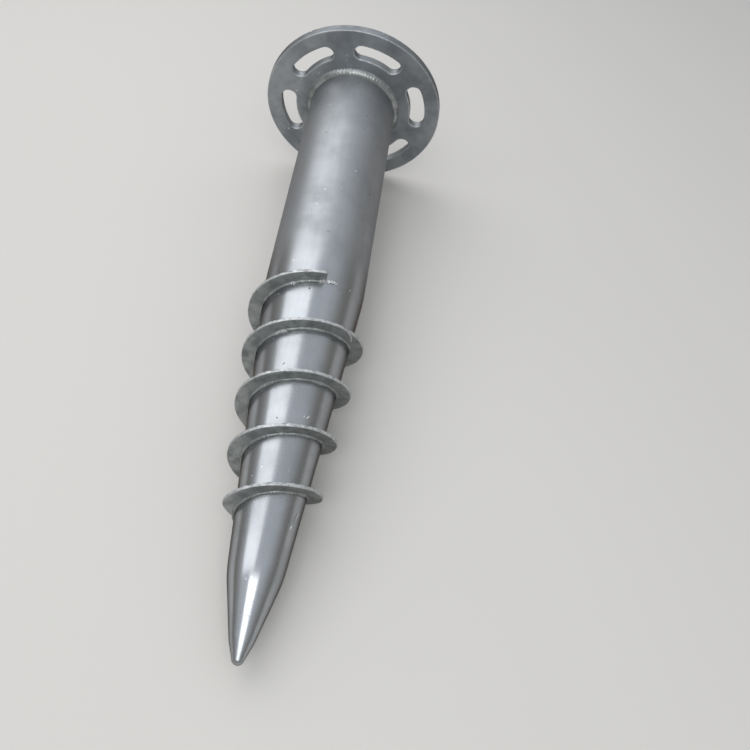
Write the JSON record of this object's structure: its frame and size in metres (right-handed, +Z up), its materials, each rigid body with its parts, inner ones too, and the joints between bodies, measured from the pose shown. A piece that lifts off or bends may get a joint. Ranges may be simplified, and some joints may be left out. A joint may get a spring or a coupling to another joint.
{
  "type": "foundation ground screw",
  "caption": "Tubular steel ground anchor with a slotted round flange, a tapered swaged point and a helical strip flight, hot-dip galvanised, lying on its side.",
  "frame": {"origin": "on the ground, under the middle of the part's box as it lies", "axes": "+Z up; the screw lies along Y, its flange at the +Y end and its point at the -Y end, with its axis sloping down to the point"},
  "size_m": [0.236, 0.7584, 0.2356],
  "materials": {
    "galvanised_tube": "hot-dip galvanised steel, satin grey zinc",
    "galvanised_plate": "hot-dip galvanised cut plate, mottled grey zinc with a rough rim",
    "galvanised_strip": "hot-dip galvanised strip, dull grey zinc, bright on its edge",
    "galvanised_weld": "zinc-coated weld bead"
  },
  "bodies": {
    "root": {"shaft_tube": "galvanised_tube", "flange_plate": "galvanised_plate", "helix_flight": "galvanised_strip", "flange_weld": "galvanised_weld", "flange_seal_weld": "galvanised_weld", "flight_weld_upper": "galvanised_weld", "flight_weld_lower": "galvanised_weld"}
  },
  "joints": []
}
